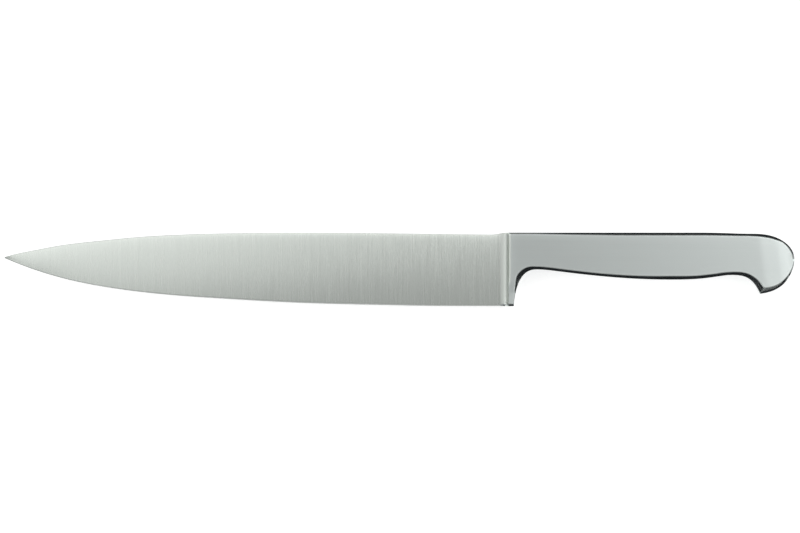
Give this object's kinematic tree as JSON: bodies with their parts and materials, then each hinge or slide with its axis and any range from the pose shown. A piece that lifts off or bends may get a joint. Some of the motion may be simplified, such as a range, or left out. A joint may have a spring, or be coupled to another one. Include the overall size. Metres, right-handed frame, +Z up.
{
  "type": "carving knife",
  "caption": "All-steel carving knife: slim pointed blade forged with a full bolster, and a hollow welded handle with a finger notch and a hooked pommel.",
  "frame": {"origin": "middle of the knife's footprint, on the surface that it lies on with its right side down", "axes": "+X from the point of the blade to the pommel, +Y towards the back of the knife with the cutting edge at -Y, +Z up out of its left side"},
  "size_m": [0.329, 0.0306, 0.0156],
  "materials": {
    "blade_steel": "satin",
    "handle_steel": "satin",
    "weld_steel": "satin",
    "filling": "matte"
  },
  "bodies": {
    "root": {"blade": "blade_steel", "left_handle_shell": "handle_steel", "right_handle_shell": "handle_steel", "bolster_weld": "weld_steel", "handle_seam_weld": "weld_steel", "handle_core": "filling"}
  },
  "joints": []
}
